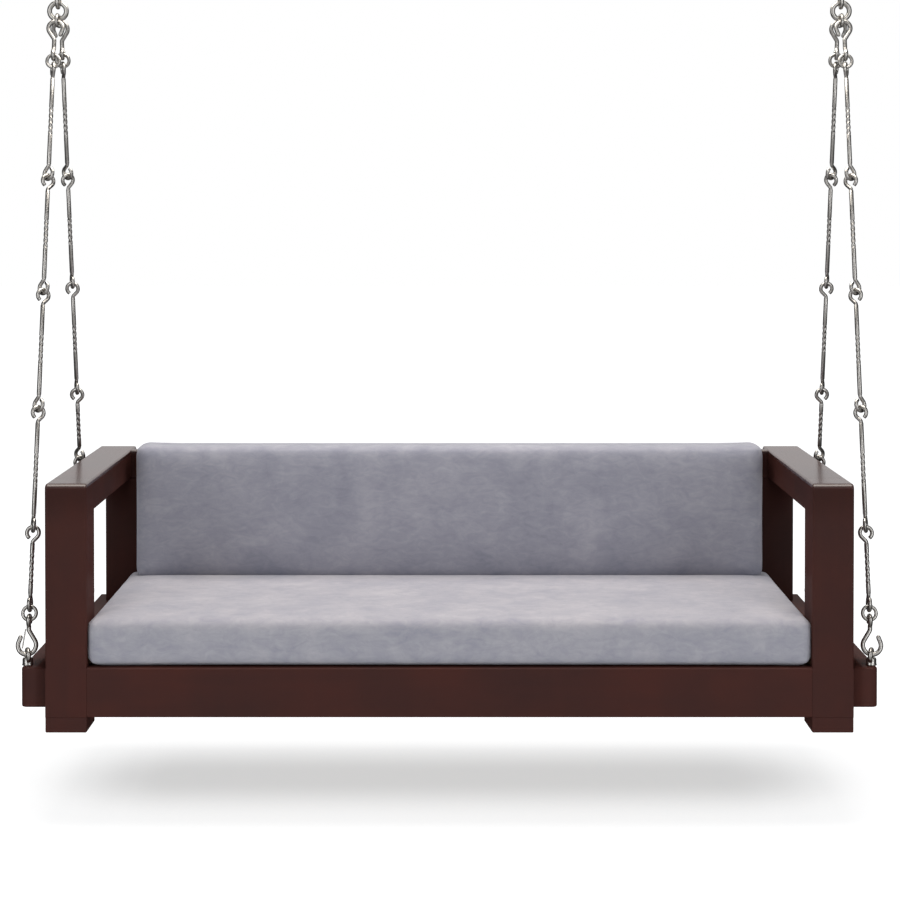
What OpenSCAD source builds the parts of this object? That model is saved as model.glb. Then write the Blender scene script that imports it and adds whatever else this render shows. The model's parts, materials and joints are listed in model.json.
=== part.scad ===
// Hanging swing bed: a wooden day bed that hangs on four steel chains.
// +X is to the right, +Y to the back and +Z up. The origin is under the middle of the frame,
// at the height of the feet's undersides. All sizes are in millimetres.

/* [Frame] */
// Width over the two hanging beams
overall_w = 1834.6; // [1820:0.2:1850]
// Depth of the frame, front to back
frame_d = 710; // [700:1:730]
// Clear width between the two front posts
inner_w = 1553; // [1540:1:1560]
// Width of a post, seen from the front
post_w = 89; // [86:0.5:90]
// Depth of a front post, front to back
front_post_d = 99; // [80:1:100]
// Height of the armrests' tops above the feet's undersides
arm_h = 533.5; // [510:0.5:560]
// Thickness of an armrest
arm_t = 69.5; // [50:0.5:72]
// Height of a foot
foot_h = 32.5; // [25:0.5:40]
// Depth of a foot, front to back
foot_d = 101; // [95:1:110]
// Height of the top of the front and rear rails
rail_h = 139.6; // [135:0.1:145]
// Thickness of the rails
rail_t = 46; // [40:1:50]
// Height of the tops of the side rails
side_rail_h = 165; // [155:1:175]
// How far the rear posts stand inwards of the front posts
rear_inset = 27; // [20:1:30]
// Height of the undersides of the hanging beams
beam_z = 54.8; // [50:0.2:60]
// Rounding of the boards' long edges
ease = 5; // [2:0.5:6]
// Rounding of the hanging beams' outer corners
beam_corner = 13; // [8:1:16]

/* [Back] */
// Number of back slats
back_slat_count = 13; // [9:1:15]
// Width of a back slat
back_slat_w = 58; // [40:1:62]
// Height of the underside of the back's lower rail
back_rail_z = 200; // [180:1:220]
// Height of the back's lower rail
back_rail_h = 60; // [50:1:70]

/* [Seat] */
// Number of seat slats
seat_slat_count = 14; // [10:1:16]
// Width of a seat slat
seat_slat_w = 70; // [60:1:74]
// Thickness of the slats
slat_t = 19; // [17:1:20]
// Side of a ledger's square section
ledger_t = 32; // [28:1:34]

/* [Cushions] */
// Width of the seat cushion
seat_w = 1546; // [1530:1:1550]
// Depth of the seat cushion
seat_d = 606; // [590:1:610]
// Thickness of the seat cushion at its edges
seat_t = 95; // [90:1:100]
// Width of the back cushion
back_w = 1494; // [1480:1:1500]
// Height of the back cushion
back_h = 307; // [300:1:315]
// Thickness of the back cushion at its edges
back_t = 102; // [95:1:105]
// How far a cushion's face swells in its middle
crown = 4; // [3:0.5:9]
// How far a cushion's sides draw in between the corners
draw_in = 3; // [1:0.5:5]
// Radius of a cushion's edges
cushion_edge = 15; // [10:1:20]

/* [Chains] */
// Distance from the middle to the line on which the chains hang
hang_x = 903.5; // [902:0.5:904]
// Height of that line
hang_z = 1543.5; // [1535:0.5:1550]
// How far that line lies behind the frame's middle
hang_y = 15; // [0:1:20]
// Sideways distance from that line to each chain
chain_offset = 5; // [4:0.5:5]
// Distance from the frame's middle to the eye bolts, to the front and to the back
bolt_y = 324; // [320:1:328]
// Radius of the wire of the rods' eyes
wire_r = 4.4; // [4.2:0.05:4.5]
// Radius of the rods between their eyes
rod_r = 5.1; // [5:0.05:5.3]
// Radius of an eye, to the middle of its wire
eye_r = 13.2; // [13:0.1:13.4]
// Distance between two joints with a long rod between them
long_pitch = 263.75; // [262:0.25:264]
// Length of a short rod, from eye to eye
short_len = 153.2; // [150:0.2:156]
// From the hanging line to the first joint of a front chain
top_hook_front = 96; // [94:0.5:98]
// From the hanging line to the first joint of a rear chain
top_hook_rear = 90; // [88:0.5:92]
// Radius of a top ring, to the middle of its wire
top_ring_r = 19.4; // [19:0.1:20]
// Radius of a top ring's wire
top_ring_wire = 5.8; // [5.5:0.05:6]
// Radius of a chain's small rings, to the middle of their wire
ring_r = 14.6; // [14.2:0.1:15]
// Radius of those rings' wire
ring_wire = 3.85; // [3.6:0.05:4]
// Radius of the hooks' wire
hook_wire = 5; // [4.8:0.05:5.1]
// Radius of a lower hook's open bend, to the middle of its wire
hook_bend_r = 19.6; // [19.2:0.1:20]
// Radius of a top hook's open bend, to the middle of its wire
top_hook_bend_r = 16.5; // [16.2:0.1:17]
// Radius of an eye bolt's eye, to the middle of its wire
bolt_eye_r = 13; // [12.8:0.1:13.2]
// Radius of an eye bolt's eye wire
bolt_wire = 5; // [4.8:0.05:5.1]
// How far an eye bolt's eye is turned from front to back
bolt_turn = 20; // [0:1:22]

/* [Ceiling hangers] */
// Width of a ceiling plate
plate_w = 34; // [30:1:36]
// Length of a ceiling plate, front to back
plate_l = 104; // [100:1:120]
// Thickness of a ceiling plate
plate_t = 5; // [4:0.5:6]
// Distance between a ceiling plate's two screw holes
plate_holes = 76; // [72:1:80]
// Radius of those holes
plate_hole_r = 5.25; // [4:0.25:6]

/* [Hidden] */

left = -1;
right = 1;
front = -1;
rear = 1;

wood = [0.24, 0.14, 0.12];
plain_wood = [0.62, 0.48, 0.34];
steel = [0.75, 0.75, 0.77];
velvet = [0.62, 0.61, 0.64];

// Places of the boards
y_front = -frame_d / 2;
y_back = frame_d / 2;
post_in = inner_w / 2;
post_out = post_in + post_w;
post_back = y_front + front_post_d;
rear_post_in = post_in - rear_inset;
rear_post_out = post_out - rear_inset;
rear_post_back = y_back - 4;
rear_post_front = rear_post_back - post_w;
side_rail_in = post_out - rail_t + 1;
arm_z = arm_h - arm_t;
beam_out = overall_w / 2;
side_back = y_back - 3;

// The seat's supports
slat_z = rail_h - slat_t;
ledger_z = slat_z - ledger_t;
bearer_z = beam_z;
bearer_t = 38;
rear_rail_front = rear_post_back - rail_t;
slat_run = [y_front + rail_t + 1, rear_rail_front - 1];
slat_gap = 2;
slat_pitch = (2 * (rear_post_in - slat_gap) - seat_slat_w) / (seat_slat_count - 1);
first_slat = -slat_pitch * (seat_slat_count - 1) / 2;

// The back's frame
back_board_t = 30;
back_board = [rear_post_front, rear_post_front + back_board_t];
back_slat_inset = 5.5;
back_slat_pitch = (2 * rear_post_in - back_slat_w - 20) / (back_slat_count - 1);
first_back_slat = -back_slat_pitch * (back_slat_count - 1) / 2;

// Fasteners
bolt_shank_r = 5;
bolt_clear = 0.3;
counterbore_r = 15;
counterbore_h = 22;
washer_r = 12;
washer_t = 2;
nut_r = 9.8;
nut_h = 8;
thread_gap = 0.05;
shank_end = 5;
lag_r = 5;
lag_len = 84;
lag_head_r = 9.8;
lag_head_h = 7;
lag_z = 97;
lag_places = [-210, -80, 80, 210];
lag_tip_gap = 2;
screw_r = 2;
screw_len = 42;
screw_head_r = 4;
screw_head_h = 3;
screw_sink = 0.5;

// The chains, measured down a chain from the hanging line
slack = 0.3;
swell = 0.15;
lap = 0.8;
tip_len = 1.8;
tip_chamfer = 1.2;
eye_lean = 45;
eye_arc = 180 + 2 * eye_lean;
bend_r = 8;
eye_step = 2 * (eye_r - wire_r) - slack;
long_len = long_pitch - eye_step;
hook_side = 12.5;
front_order = ["long", "long", "long", "long", "short"];
rear_order = ["long", "long", "long", "short", "long"];
// How far each rod's two eyes are turned about the chain: its upper eye, then its lower eye
front_turns = [[70, 36], [-36, 36], [-36, 36], [-36, 72], [0, 90]];
rear_turns = [[70, 36], [-36, 72], [0, 72], [0, 36], [-36, 90]];
bead_count = 5;
bead_pitch = 13.4;
bead_r = rod_r + 0.6;
bead_dip = 0.7;
bead_points = 4;

bolt_eye_z = rail_h + 20;
collar_r = 12;
collar_h = 13;
collar_top_r = 10;
collar_cone_h = 3;
hook_gap = 1;
hook_bottom_drop = bolt_eye_r - bolt_wire - hook_wire - hook_gap;
hook_eye_r = 9.6;
hook_eye_arc = 245;
hook_off = 2.5;
hook_tip_a = 20;
hook_lean = 33;
hook_shank_bend = 12;
hook_neck_r = 7;
hook_tip_len = 10.5;
keeper_r = 1.5;

// The ring, link and hanger above the hanging line
link_wire = 4;
link_half_w = 20.5;
link_corner = 8;
link_top_corner = 13;
link_h = 25;
link_gap = 0.3;
top_hook_off = 2;
top_hook_gap = 0.6;
top_hook_reach = top_hook_bend_r - link_wire - hook_wire - top_hook_gap;
hook_rise = top_hook_bend_r - sqrt(pow(top_hook_reach, 2) - pow(chain_offset - top_hook_off, 2));
ring_bottom_z = hang_z + link_h - link_wire - top_ring_wire - link_gap;
ring_z = ring_bottom_z + top_ring_r;
staple_wire = 4.8;
staple_r = 12.5;
staple_gap = 0.3;
staple_z = ring_z + top_ring_r - top_ring_wire - staple_gap - staple_wire + staple_r;
plate_z = staple_z + 34;

// Angle and length of a chain from its place on the hanging line to its eye bolt
function chain_top_y(end) = hang_y + end * hook_side;
function chain_run(end) = abs(end * bolt_y - chain_top_y(end));
function chain_drop() = hang_z - bolt_eye_z;
function chain_len(end) = sqrt(pow(chain_run(end), 2) + pow(chain_drop(), 2));
function chain_tilt(end) = end * atan2(chain_run(end), chain_drop());
function chain_x(end) = hang_x - end * chain_offset;

// Places along a chain
function order_of(end) = end == front ? front_order : rear_order;
function turns_of(end) = end == front ? front_turns : rear_turns;
function first_joint(end) = end == front ? top_hook_front : top_hook_rear;
function rod_len(kind) = kind == "long" ? long_len : short_len;
function joint_s(end, i) =
  i == 0 ? first_joint(end) : joint_s(end, i - 1) + rod_len(order_of(end)[i - 1]) + eye_step;
rod_to_ring = (eye_r - wire_r) + (ring_r - ring_wire) - slack;
ring_to_hook = (ring_r - ring_wire) + (hook_eye_r - hook_wire) - slack;
function upper_ring_s(end) = first_joint(end) + eye_step / 2 - rod_to_ring;
function lower_ring_s(end) = joint_s(end, len(order_of(end))) - eye_step / 2 + rod_to_ring;
function hook_bottom_s(end) = chain_len(end) - hook_bottom_drop;

// ---- shapes that repeat ----

// A rectangle whose corners are rounded by short straight cuts
module eased_rect(w, h, r, cuts = 5) {
  centres = [[w - r, h - r, 0], [r, h - r, 90], [r, r, 180], [w - r, r, 270]];
  polygon([
    for (c = centres)
      for (i = [0:cuts])
        [c[0] + r * cos(c[2] + i * 90 / cuts), c[1] + r * sin(c[2] + i * 90 / cuts)]]);
}

// A board between two places on each axis, with the edges along one axis rounded
module board(x, y, z, along = "x", r = ease) {
  dx = x[1] - x[0];
  dy = y[1] - y[0];
  dz = z[1] - z[0];
  if (along == "z")
    translate([x[0], y[0], z[0]]) linear_extrude(dz) eased_rect(dx, dy, r);
  if (along == "y")
    translate([x[0], y[1], z[0]]) rotate([90, 0, 0]) linear_extrude(dy) eased_rect(dx, dz, r);
  if (along == "x")
    translate([x[0], y[0], z[0]]) rotate([90, 0, 90]) linear_extrude(dx) eased_rect(dy, dz, r);
}

module square_board(x, y, z) {
  translate([x[0], y[0], z[0]]) cube([x[1] - x[0], y[1] - y[0], z[1] - z[0]]);
}

module on_side(side) {
  mirror([side < 0 ? 1 : 0, 0, 0]) children();
}

// Everything in a chain is drawn with the chain straight down from its top
module on_chain(side, end) {
  on_side(side)
    translate([chain_x(end), chain_top_y(end), hang_z]) rotate([chain_tilt(end), 0, 0]) children();
}

module down(s) {
  translate([0, 0, -s]) children();
}

module ring(r, wire) {
  rotate([90, 0, 0]) rotate_extrude($fn = 48) translate([r, 0]) circle(wire, $fn = 20);
}

// An arc of wire that starts at the origin, heads for +X and turns by turn degrees
module bend(r, turn, wire) {
  translate([0, sign(turn) * r, 0]) rotate([0, 0, turn > 0 ? -90 : 90 + turn])
    rotate_extrude(angle = abs(turn), $fn = 48) translate([r, 0]) circle(wire, $fn = 20);
}

// The chamfered end of a wire that arrives along +X
module cut_end(wire) {
  translate([-lap, 0, 0]) rotate([0, 90, 0])
    cylinder(h = lap + tip_chamfer, r1 = wire, r2 = wire - tip_chamfer, $fn = 20);
}

// Bent wire in the XY plane: each step is a straight length, then a bend's radius and turn.
// The straights are slightly thicker than the bends and lap over their ends.
module bent_wire(steps, wire, lead_in = 0, i = 0) {
  if (i < len(steps)) {
    length = steps[i][0];
    r = steps[i][1];
    turn = steps[i][2];
    translate([-lead_in, 0, 0]) rotate([0, 90, 0])
      cylinder(h = lead_in + length + (turn == 0 ? 0 : lap), r = wire + swell, $fn = 20);
    translate([length, 0, 0])
      if (turn == 0)
        cut_end(wire);
      else {
        bend(r, turn, wire);
        translate([r * sin(abs(turn)), sign(turn) * r * (1 - cos(turn)), 0]) rotate([0, 0, turn])
          bent_wire(steps, wire, lap, i + 1);
      }
  }
}

// The same wire in the XZ plane, heading up or down at its start
module wire_up(steps, wire, lead_in = 0) {
  rotate([0, -90, 0]) rotate([90, 0, 0]) bent_wire(steps, wire, lead_in);
}

module wire_down(steps, wire) {
  rotate([0, 90, 0]) rotate([90, 0, 0]) bent_wire(steps, wire);
}

// Steps of a straight lead that ends in a pear-shaped eye, and how far past the lead's end the
// eye is centred
function eye_reach(r) = r / sin(eye_lean);
function eye_steps(lead, r, bend, arc) =
  [[lead - bend * tan(eye_lean / 2), bend, eye_lean],
   [r / tan(eye_lean) - bend * tan(eye_lean / 2), r, -arc],
   [tip_len, 0, 0]];

// Short tail of wire wound round the middle of a rod
module beads() {
  steps = bead_count * bead_points;
  half = bead_count * bead_pitch / 2;
  rotate_extrude($fn = 24) polygon(concat(
    [[0, -half]],
    [for (i = [0:steps])
      [bead_r - bead_dip * pow(cos(180 * i / bead_points), 2), -half + i * 2 * half / steps]],
    [[0, half]]));
}

// A rod with its upper eye's centre at the origin, hanging down
module rod(length, turns) {
  lead = length / 2 - eye_reach(eye_r);
  half = lead - bend_r * tan(eye_lean / 2);
  down(length / 2) {
    down(half) cylinder(h = 2 * half, r = rod_r, $fn = 20);
    rotate([0, 0, turns[0]]) wire_up(eye_steps(lead, eye_r, bend_r, eye_arc), wire_r);
    rotate([0, 0, turns[1]]) wire_down(eye_steps(lead, eye_r, bend_r, eye_arc), wire_r);
    beads();
  }
}

// Every rod of one kind in a chain
module rods(side, end, kind) {
  order = order_of(end);
  color(steel)
    on_chain(side, end)
      for (i = [0:len(order) - 1])
        if (order[i] == kind)
          down(joint_s(end, i) + eye_step / 2) rod(rod_len(kind), turns_of(end)[i]);
}

// ---- cushions ----

// Outline of a cushion, drawn in along its sides, with its corners rounded
side_points = 9;
corner_points = 4;
outline_points = 4 * (side_points + corner_points);
function along_side(c, i, w, h, r) =
  let (t = i / (side_points + 1), pull = draw_in * sin(180 * t))
  c == 0 ? [w - pull, (h - r) * (2 * t - 1)]
  : c == 1 ? [(w - r) * (1 - 2 * t), h - pull]
  : c == 2 ? [pull - w, (h - r) * (1 - 2 * t)]
  : [(w - r) * (2 * t - 1), pull - h];
function round_corner(c, i, w, h, r) =
  let (a = 90 * c + 90 * i / (corner_points - 1), q = [[1, 1], [-1, 1], [-1, -1], [1, -1]][c])
  [q[0] * (w - r) + r * cos(a), q[1] * (h - r) + r * sin(a)];
function outline(w, h, r) = [
  for (c = [0:3])
    each concat([for (i = [1:side_points]) along_side(c, i, w, h, r)],
                [for (i = [0:corner_points - 1]) round_corner(c, i, w, h, r)])];

// Rings of a cushion from its lower face to its upper face: how far each is inside the outline,
// and its height from the cushion's middle
edge_steps = 4;
face_steps = 5;
function face_rings(t, h) = [
  for (i = [0:face_steps])
    let (u = i / face_steps, in = cushion_edge + (h - cushion_edge) * 0.94 * (1 - u))
    [in, t / 2 + crown * (1 - pow(1 - (in - cushion_edge) / (h - cushion_edge), 2))]];
function edge_rings(t) = [
  for (i = [1:edge_steps])
    let (a = 90 * i / edge_steps)
    [cushion_edge * (1 - sin(a)), t / 2 - cushion_edge * (1 - cos(a))]];
function flipped(rings) = [for (i = [len(rings) - 1:-1:0]) [rings[i][0], -rings[i][1]]];
function cushion_rings(t, h) =
  let (half = concat(face_rings(t, h), edge_rings(t)))
  concat(half, flipped(half));

// A cushion centred on the origin, with its faces across Z
module cushion(w, h, t) {
  rings = cushion_rings(t, h / 2);
  n = outline_points;
  last = len(rings) - 1;
  corner = 2 * cushion_edge;
  points = concat(
    [for (ring = rings)
      let (in = ring[0], r = max(corner - in, 4))
      for (p = outline(w / 2 - in, h / 2 - in, r)) [p[0], p[1], ring[1]]],
    [[0, 0, rings[0][1]], [0, 0, rings[last][1]]]);
  sides = [
    for (k = [0:last - 1])
      for (i = [0:n - 1])
        let (a = k * n + i, b = k * n + (i + 1) % n)
        each [[a, b + n, a + n], [a, b, b + n]]];
  caps = [
    for (i = [0:n - 1])
      let (j = (i + 1) % n)
      each [[i, len(points) - 2, j], [last * n + j, len(points) - 1, last * n + i]]];
  polyhedron(points, concat(sides, caps));
}

module seat_cushion() {
  color(velvet)
    translate([0, y_front + 2 + seat_d / 2, rail_h + 0.4 + crown + seat_t / 2])
      cushion(seat_w, seat_d, seat_t);
}

module back_cushion() {
  z = rail_h + 0.4 + 2 * crown + seat_t + 0.4;
  color(velvet)
    translate([0, rear_post_front - 1 - crown - back_t / 2, z + back_h / 2]) rotate([90, 0, 0])
      cushion(back_w, back_h, back_t);
}

// ---- chains ----

module ceiling_hanger(side) {
  color(steel)
    on_side(side) translate([hang_x, hang_y, 0]) {
      translate([0, -staple_r, plate_z + 1]) rotate([0, 90, 0])
        bent_wire([
          [plate_z + 1 - staple_z, staple_r, 180],
          [plate_z + 1 - staple_z, 0, 0]], staple_wire);
      difference() {
        translate([-plate_w / 2, -plate_l / 2, plate_z]) cube([plate_w, plate_l, plate_t]);
        for (y = [-plate_holes / 2, plate_holes / 2])
          translate([0, y, plate_z - 1]) cylinder(h = plate_t + 2, r = plate_hole_r, $fn = 32);
      }
    }
}

module top_ring(side) {
  color(steel)
    on_side(side) translate([hang_x, hang_y, ring_z]) ring(top_ring_r, top_ring_wire);
}

module swing_link(side) {
  rise = link_h - link_corner - link_top_corner;
  color(steel)
    on_side(side) translate([hang_x, hang_y, hang_z]) rotate([90, 0, 90]) {
      bent_wire([
        [link_half_w - link_corner, link_corner, 90],
        [rise, link_top_corner, 90],
        [2 * (link_half_w - link_top_corner), link_top_corner, 90],
        [rise, link_corner, 90],
        [link_half_w - link_corner, 0, 0]], link_wire);
      translate([-lap, 0, 0]) rotate([0, 90, 0])
        cylinder(h = 2 * lap, r = link_wire + 2 * swell, $fn = 20);
    }
}

// The small rings above and below a chain's rods
module chain_rings(side, end) {
  color(steel)
    on_chain(side, end)
      for (s = [upper_ring_s(end), lower_ring_s(end)])
        down(s) ring(ring_r, ring_wire);
}

// An open hook that stands on its bend, with a closed eye across its top. Its tip leans over
// the bend, which is centred off to the side of the eye.
module hook(length, r, off) {
  rise_a = 180 - hook_lean;
  bend_x = hook_shank_bend * (1 - cos(hook_lean));
  slope = (-off - r * cos(rise_a) - bend_x) / sin(hook_lean);
  shank_z = r * (1 + sin(rise_a)) + slope * cos(hook_lean) + hook_shank_bend * sin(hook_lean);
  tip_x = off + r * cos(hook_tip_a) - hook_tip_len * sin(hook_tip_a);
  tip_z = r * (1 + sin(hook_tip_a)) + hook_tip_len * cos(hook_tip_a);
  lead = length - eye_reach(hook_eye_r) - shank_z;
  translate([tip_x, 0, tip_z]) rotate([90, 0, 0]) rotate([0, 0, hook_tip_a - 90]) {
    rotate([0, 0, 180]) cut_end(hook_wire);
    bent_wire([
      [hook_tip_len, r, -(360 - rise_a + hook_tip_a)],
      [slope, hook_shank_bend, hook_lean]], hook_wire);
  }
  translate([0, 0, shank_z]) rotate([0, 0, 90])
    wire_up(eye_steps(lead, hook_eye_r, hook_neck_r, hook_eye_arc), hook_wire, lap);
}

// A hook upside down over the swing link
module top_hook(side, end) {
  length = upper_ring_s(end) - ring_to_hook + hook_rise;
  color(steel)
    on_chain(side, end) down(-hook_rise) mirror([end > 0 ? 1 : 0, 0, 0]) rotate([0, 180, 0])
      hook(length, top_hook_bend_r, top_hook_off);
}

module lower_hook(side, end) {
  length = hook_bottom_s(end) - lower_ring_s(end) - ring_to_hook;
  color(steel)
    on_chain(side, end) down(hook_bottom_s(end)) hook(length, hook_bend_r, hook_off);
}

// Thin wire across the mouth of the left front hook, from its shank to inside its tip
module hook_keeper() {
  top = [hook_wire + keeper_r + 0.4, 0, 54];
  foot = [hook_off + 10, 0, 12.5];
  run = top - foot;
  color(steel)
    on_chain(left, front) down(hook_bottom_s(front))
      translate(foot) rotate([0, atan2(run[0], run[2]), 0]) cylinder(h = norm(run), r = keeper_r, $fn = 16);
}

module at_bolt(side, end) {
  on_side(side) translate([chain_x(end), end * bolt_y, 0]) children();
}

module eye_bolt(side, end) {
  nut_bottom = beam_z + counterbore_h - washer_t - nut_h;
  color(steel)
    at_bolt(side, end) {
      translate([0, 0, bolt_eye_z]) rotate([0, 0, 90 + end * bolt_turn]) ring(bolt_eye_r, bolt_wire);
      translate([0, 0, rail_h]) cylinder(h = collar_h, r = collar_r, $fn = 32);
      translate([0, 0, rail_h + collar_h])
        cylinder(h = collar_cone_h, r1 = collar_r - 1, r2 = collar_top_r, $fn = 32);
      translate([0, 0, nut_bottom - shank_end])
        cylinder(h = rail_h - nut_bottom + shank_end, r = bolt_shank_r, $fn = 32);
    }
}

module each_bolt() {
  for (side = [left, right])
    for (end = [front, rear])
      at_bolt(side, end) children();
}

module eye_bolt_washers() {
  color(steel)
    each_bolt() translate([0, 0, beam_z + counterbore_h - washer_t]) difference() {
      cylinder(h = washer_t, r = washer_r, $fn = 32);
      translate([0, 0, -1]) cylinder(h = washer_t + 2, r = bolt_shank_r + bolt_clear, $fn = 32);
    }
}

module eye_bolt_nuts() {
  color(steel)
    each_bolt() translate([0, 0, beam_z + counterbore_h - washer_t - nut_h]) difference() {
      cylinder(h = nut_h, r = nut_r, $fn = 6);
      translate([0, 0, -1]) cylinder(h = nut_h + 2, r = bolt_shank_r + thread_gap, $fn = 32);
    }
}

// ---- frame ----

module front_post(side) {
  color(wood) on_side(side)
    board([post_in, post_out], [y_front, post_back], [foot_h, arm_h], "z");
}

// A rear post is cut back where the side rail passes it
module rear_post(side) {
  color(wood) on_side(side)
    difference() {
      board([rear_post_in, rear_post_out], [rear_post_front, rear_post_back], [foot_h, arm_z], "z");
      square_board([side_rail_in, rear_post_out + 1], [rear_post_front - 1, y_back],
                   [foot_h - 1, side_rail_h]);
    }
}

module foot(side, end) {
  x = end == front ? [post_in, post_out] : [rear_post_in, rear_post_out];
  y = end == front ? [y_front, y_front + foot_d] : [rear_post_back - foot_d, rear_post_back];
  color(wood) on_side(side) board(x, y, [0, foot_h], "z", 3);
}

module front_rail() {
  color(wood) board([-post_in, post_in], [y_front, y_front + rail_t], [foot_h, rail_h]);
}

module rear_rail() {
  color(wood) board([-rear_post_in, rear_post_in], [rear_rail_front, rear_post_back], [foot_h, rail_h]);
}

module side_rail(side) {
  color(wood) on_side(side) difference() {
    board([side_rail_in, post_out], [post_back, side_back], [foot_h, side_rail_h], "y", 3);
    lag_holes(1);
  }
}

// A beam outside the posts, with a bore and a counterbore for each of its eye bolts
module hanging_beam(side) {
  deep = beam_out - post_out;
  color(wood) on_side(side) difference() {
    translate([post_out, y_front, beam_z]) linear_extrude(rail_h - beam_z)
      polygon(concat(
        [[0, frame_d], [0, 0]],
        [for (i = [0:6]) [deep - beam_corner + beam_corner * sin(15 * i),
                          beam_corner * (1 - cos(15 * i))]],
        [for (i = [0:6]) [deep - beam_corner + beam_corner * cos(15 * i),
                          frame_d - beam_corner * (1 - sin(15 * i))]]));
    for (end = [front, rear])
      translate([chain_x(end), end * bolt_y, beam_z - 1]) {
        cylinder(h = rail_h, r = bolt_shank_r + bolt_clear, $fn = 32);
        cylinder(h = counterbore_h + 1, r = counterbore_r, $fn = 32);
      }
    lag_holes(1);
  }
}

// Holes for the lag bolts that hold a beam to its side rail
module lag_holes(gap) {
  for (y = lag_places)
    translate([side_rail_in - gap, y, lag_z]) rotate([0, 90, 0])
      cylinder(h = lag_len + gap + lag_tip_gap, r = lag_r + bolt_clear, $fn = 32);
}

module beam_bolts() {
  color(steel)
    for (side = [left, right])
      on_side(side) for (y = lag_places)
        translate([side_rail_in, y, lag_z]) rotate([0, 90, 0]) {
          cylinder(h = lag_len, r = lag_r, $fn = 24);
          translate([0, 0, -lag_head_h]) cylinder(h = lag_head_h, r = lag_head_r, $fn = 6);
        }
}

module armrest(side) {
  color(wood) on_side(side)
    board([post_in, post_out], [post_back, rear_post_back], [arm_z, arm_h], "y");
}

module back_top_rail() {
  color(wood) board([-post_in, post_in], back_board, [arm_z, arm_h]);
}

module back_bottom_rail() {
  color(wood) board([-rear_post_in, rear_post_in], back_board, [back_rail_z, back_rail_z + back_rail_h]);
}

module back_slats() {
  y = [back_board[0] + back_slat_inset, back_board[1] - back_slat_inset];
  color(wood)
    for (i = [0:back_slat_count - 1]) {
      x = first_back_slat + i * back_slat_pitch;
      square_board([x - back_slat_w / 2, x + back_slat_w / 2], y, [back_rail_z + back_rail_h, arm_z]);
    }
}

module ledger(y) {
  color(plain_wood) difference() {
    square_board([-post_in, post_in], y, [ledger_z, slat_z]);
    screw_holes();
  }
}

module front_ledger() {
  ledger([y_front + rail_t, y_front + rail_t + ledger_t]);
}

module rear_ledger() {
  color(plain_wood) difference() {
    square_board([-rear_post_in, rear_post_in], [rear_rail_front - ledger_t, rear_rail_front],
                 [ledger_z, slat_z]);
    screw_holes();
  }
}

module centre_bearer() {
  color(plain_wood)
    square_board([-side_rail_in, side_rail_in], [-bearer_t / 2, bearer_t / 2], [bearer_z, slat_z]);
}

module each_screw() {
  for (i = [0:seat_slat_count - 1])
    for (y = [slat_run[0] + ledger_t / 2, slat_run[1] - ledger_t / 2])
      translate([first_slat + i * slat_pitch, y, rail_h - screw_sink]) children();
}

module screw_shape(gap) {
  translate([0, 0, -screw_len - gap]) cylinder(h = screw_len + gap, r = screw_r + gap, $fn = 24);
  translate([0, 0, -screw_head_h - gap])
    cylinder(h = screw_head_h, r1 = screw_r + gap, r2 = screw_head_r + gap, $fn = 24);
}

module screw_holes() {
  each_screw() {
    screw_shape(0.15);
    translate([0, 0, -0.2]) cylinder(h = 2, r = screw_head_r + 0.15, $fn = 24);
  }
}

module seat_slats() {
  color(plain_wood) difference() {
    for (i = [0:seat_slat_count - 1]) {
      x = first_slat + i * slat_pitch;
      square_board([x - seat_slat_w / 2, x + seat_slat_w / 2], slat_run, [slat_z, rail_h]);
    }
    screw_holes();
  }
}

module slat_screws() {
  color(steel) each_screw() screw_shape(0);
}

ceiling_hanger(left);  // ceiling_hanger_left
ceiling_hanger(right);  // ceiling_hanger_right
top_ring(left);  // top_ring_left
top_ring(right);  // top_ring_right
swing_link(left);  // swing_link_left
swing_link(right);  // swing_link_right
top_hook(left, front);  // top_hook_front_left
top_hook(right, front);  // top_hook_front_right
top_hook(left, rear);  // top_hook_rear_left
top_hook(right, rear);  // top_hook_rear_right
rods(left, front, "long");  // long_rods_front_left
rods(right, front, "long");  // long_rods_front_right
rods(left, rear, "long");  // long_rods_rear_left
rods(right, rear, "long");  // long_rods_rear_right
rods(left, front, "short");  // short_rod_front_left
rods(right, front, "short");  // short_rod_front_right
rods(left, rear, "short");  // short_rod_rear_left
rods(right, rear, "short");  // short_rod_rear_right
chain_rings(left, front);  // chain_rings_front_left
chain_rings(right, front);  // chain_rings_front_right
chain_rings(left, rear);  // chain_rings_rear_left
chain_rings(right, rear);  // chain_rings_rear_right
lower_hook(left, front);  // lower_hook_front_left
lower_hook(right, front);  // lower_hook_front_right
lower_hook(left, rear);  // lower_hook_rear_left
lower_hook(right, rear);  // lower_hook_rear_right
hook_keeper();
eye_bolt(left, front);  // eye_bolt_front_left
eye_bolt(right, front);  // eye_bolt_front_right
eye_bolt(left, rear);  // eye_bolt_rear_left
eye_bolt(right, rear);  // eye_bolt_rear_right
eye_bolt_washers();
eye_bolt_nuts();
beam_bolts();
slat_screws();
front_post(left);  // front_post_left
front_post(right);  // front_post_right
rear_post(left);  // rear_post_left
rear_post(right);  // rear_post_right
foot(left, front);  // foot_front_left
foot(right, front);  // foot_front_right
foot(left, rear);  // foot_rear_left
foot(right, rear);  // foot_rear_right
front_rail();
rear_rail();
side_rail(left);  // side_rail_left
side_rail(right);  // side_rail_right
hanging_beam(left);  // hanging_beam_left
hanging_beam(right);  // hanging_beam_right
armrest(left);  // armrest_left
armrest(right);  // armrest_right
back_top_rail();
back_bottom_rail();
back_slats();
front_ledger();
rear_ledger();
centre_bearer();
seat_slats();
seat_cushion();
back_cushion();
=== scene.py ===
# Hanging swing bed: what it looks like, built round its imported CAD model.
# Lengths are in metres. +X is to the right, +Y to the back and +Z up.
import json
import math

import bmesh
import bpy
from mathutils import Matrix, Vector

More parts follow.
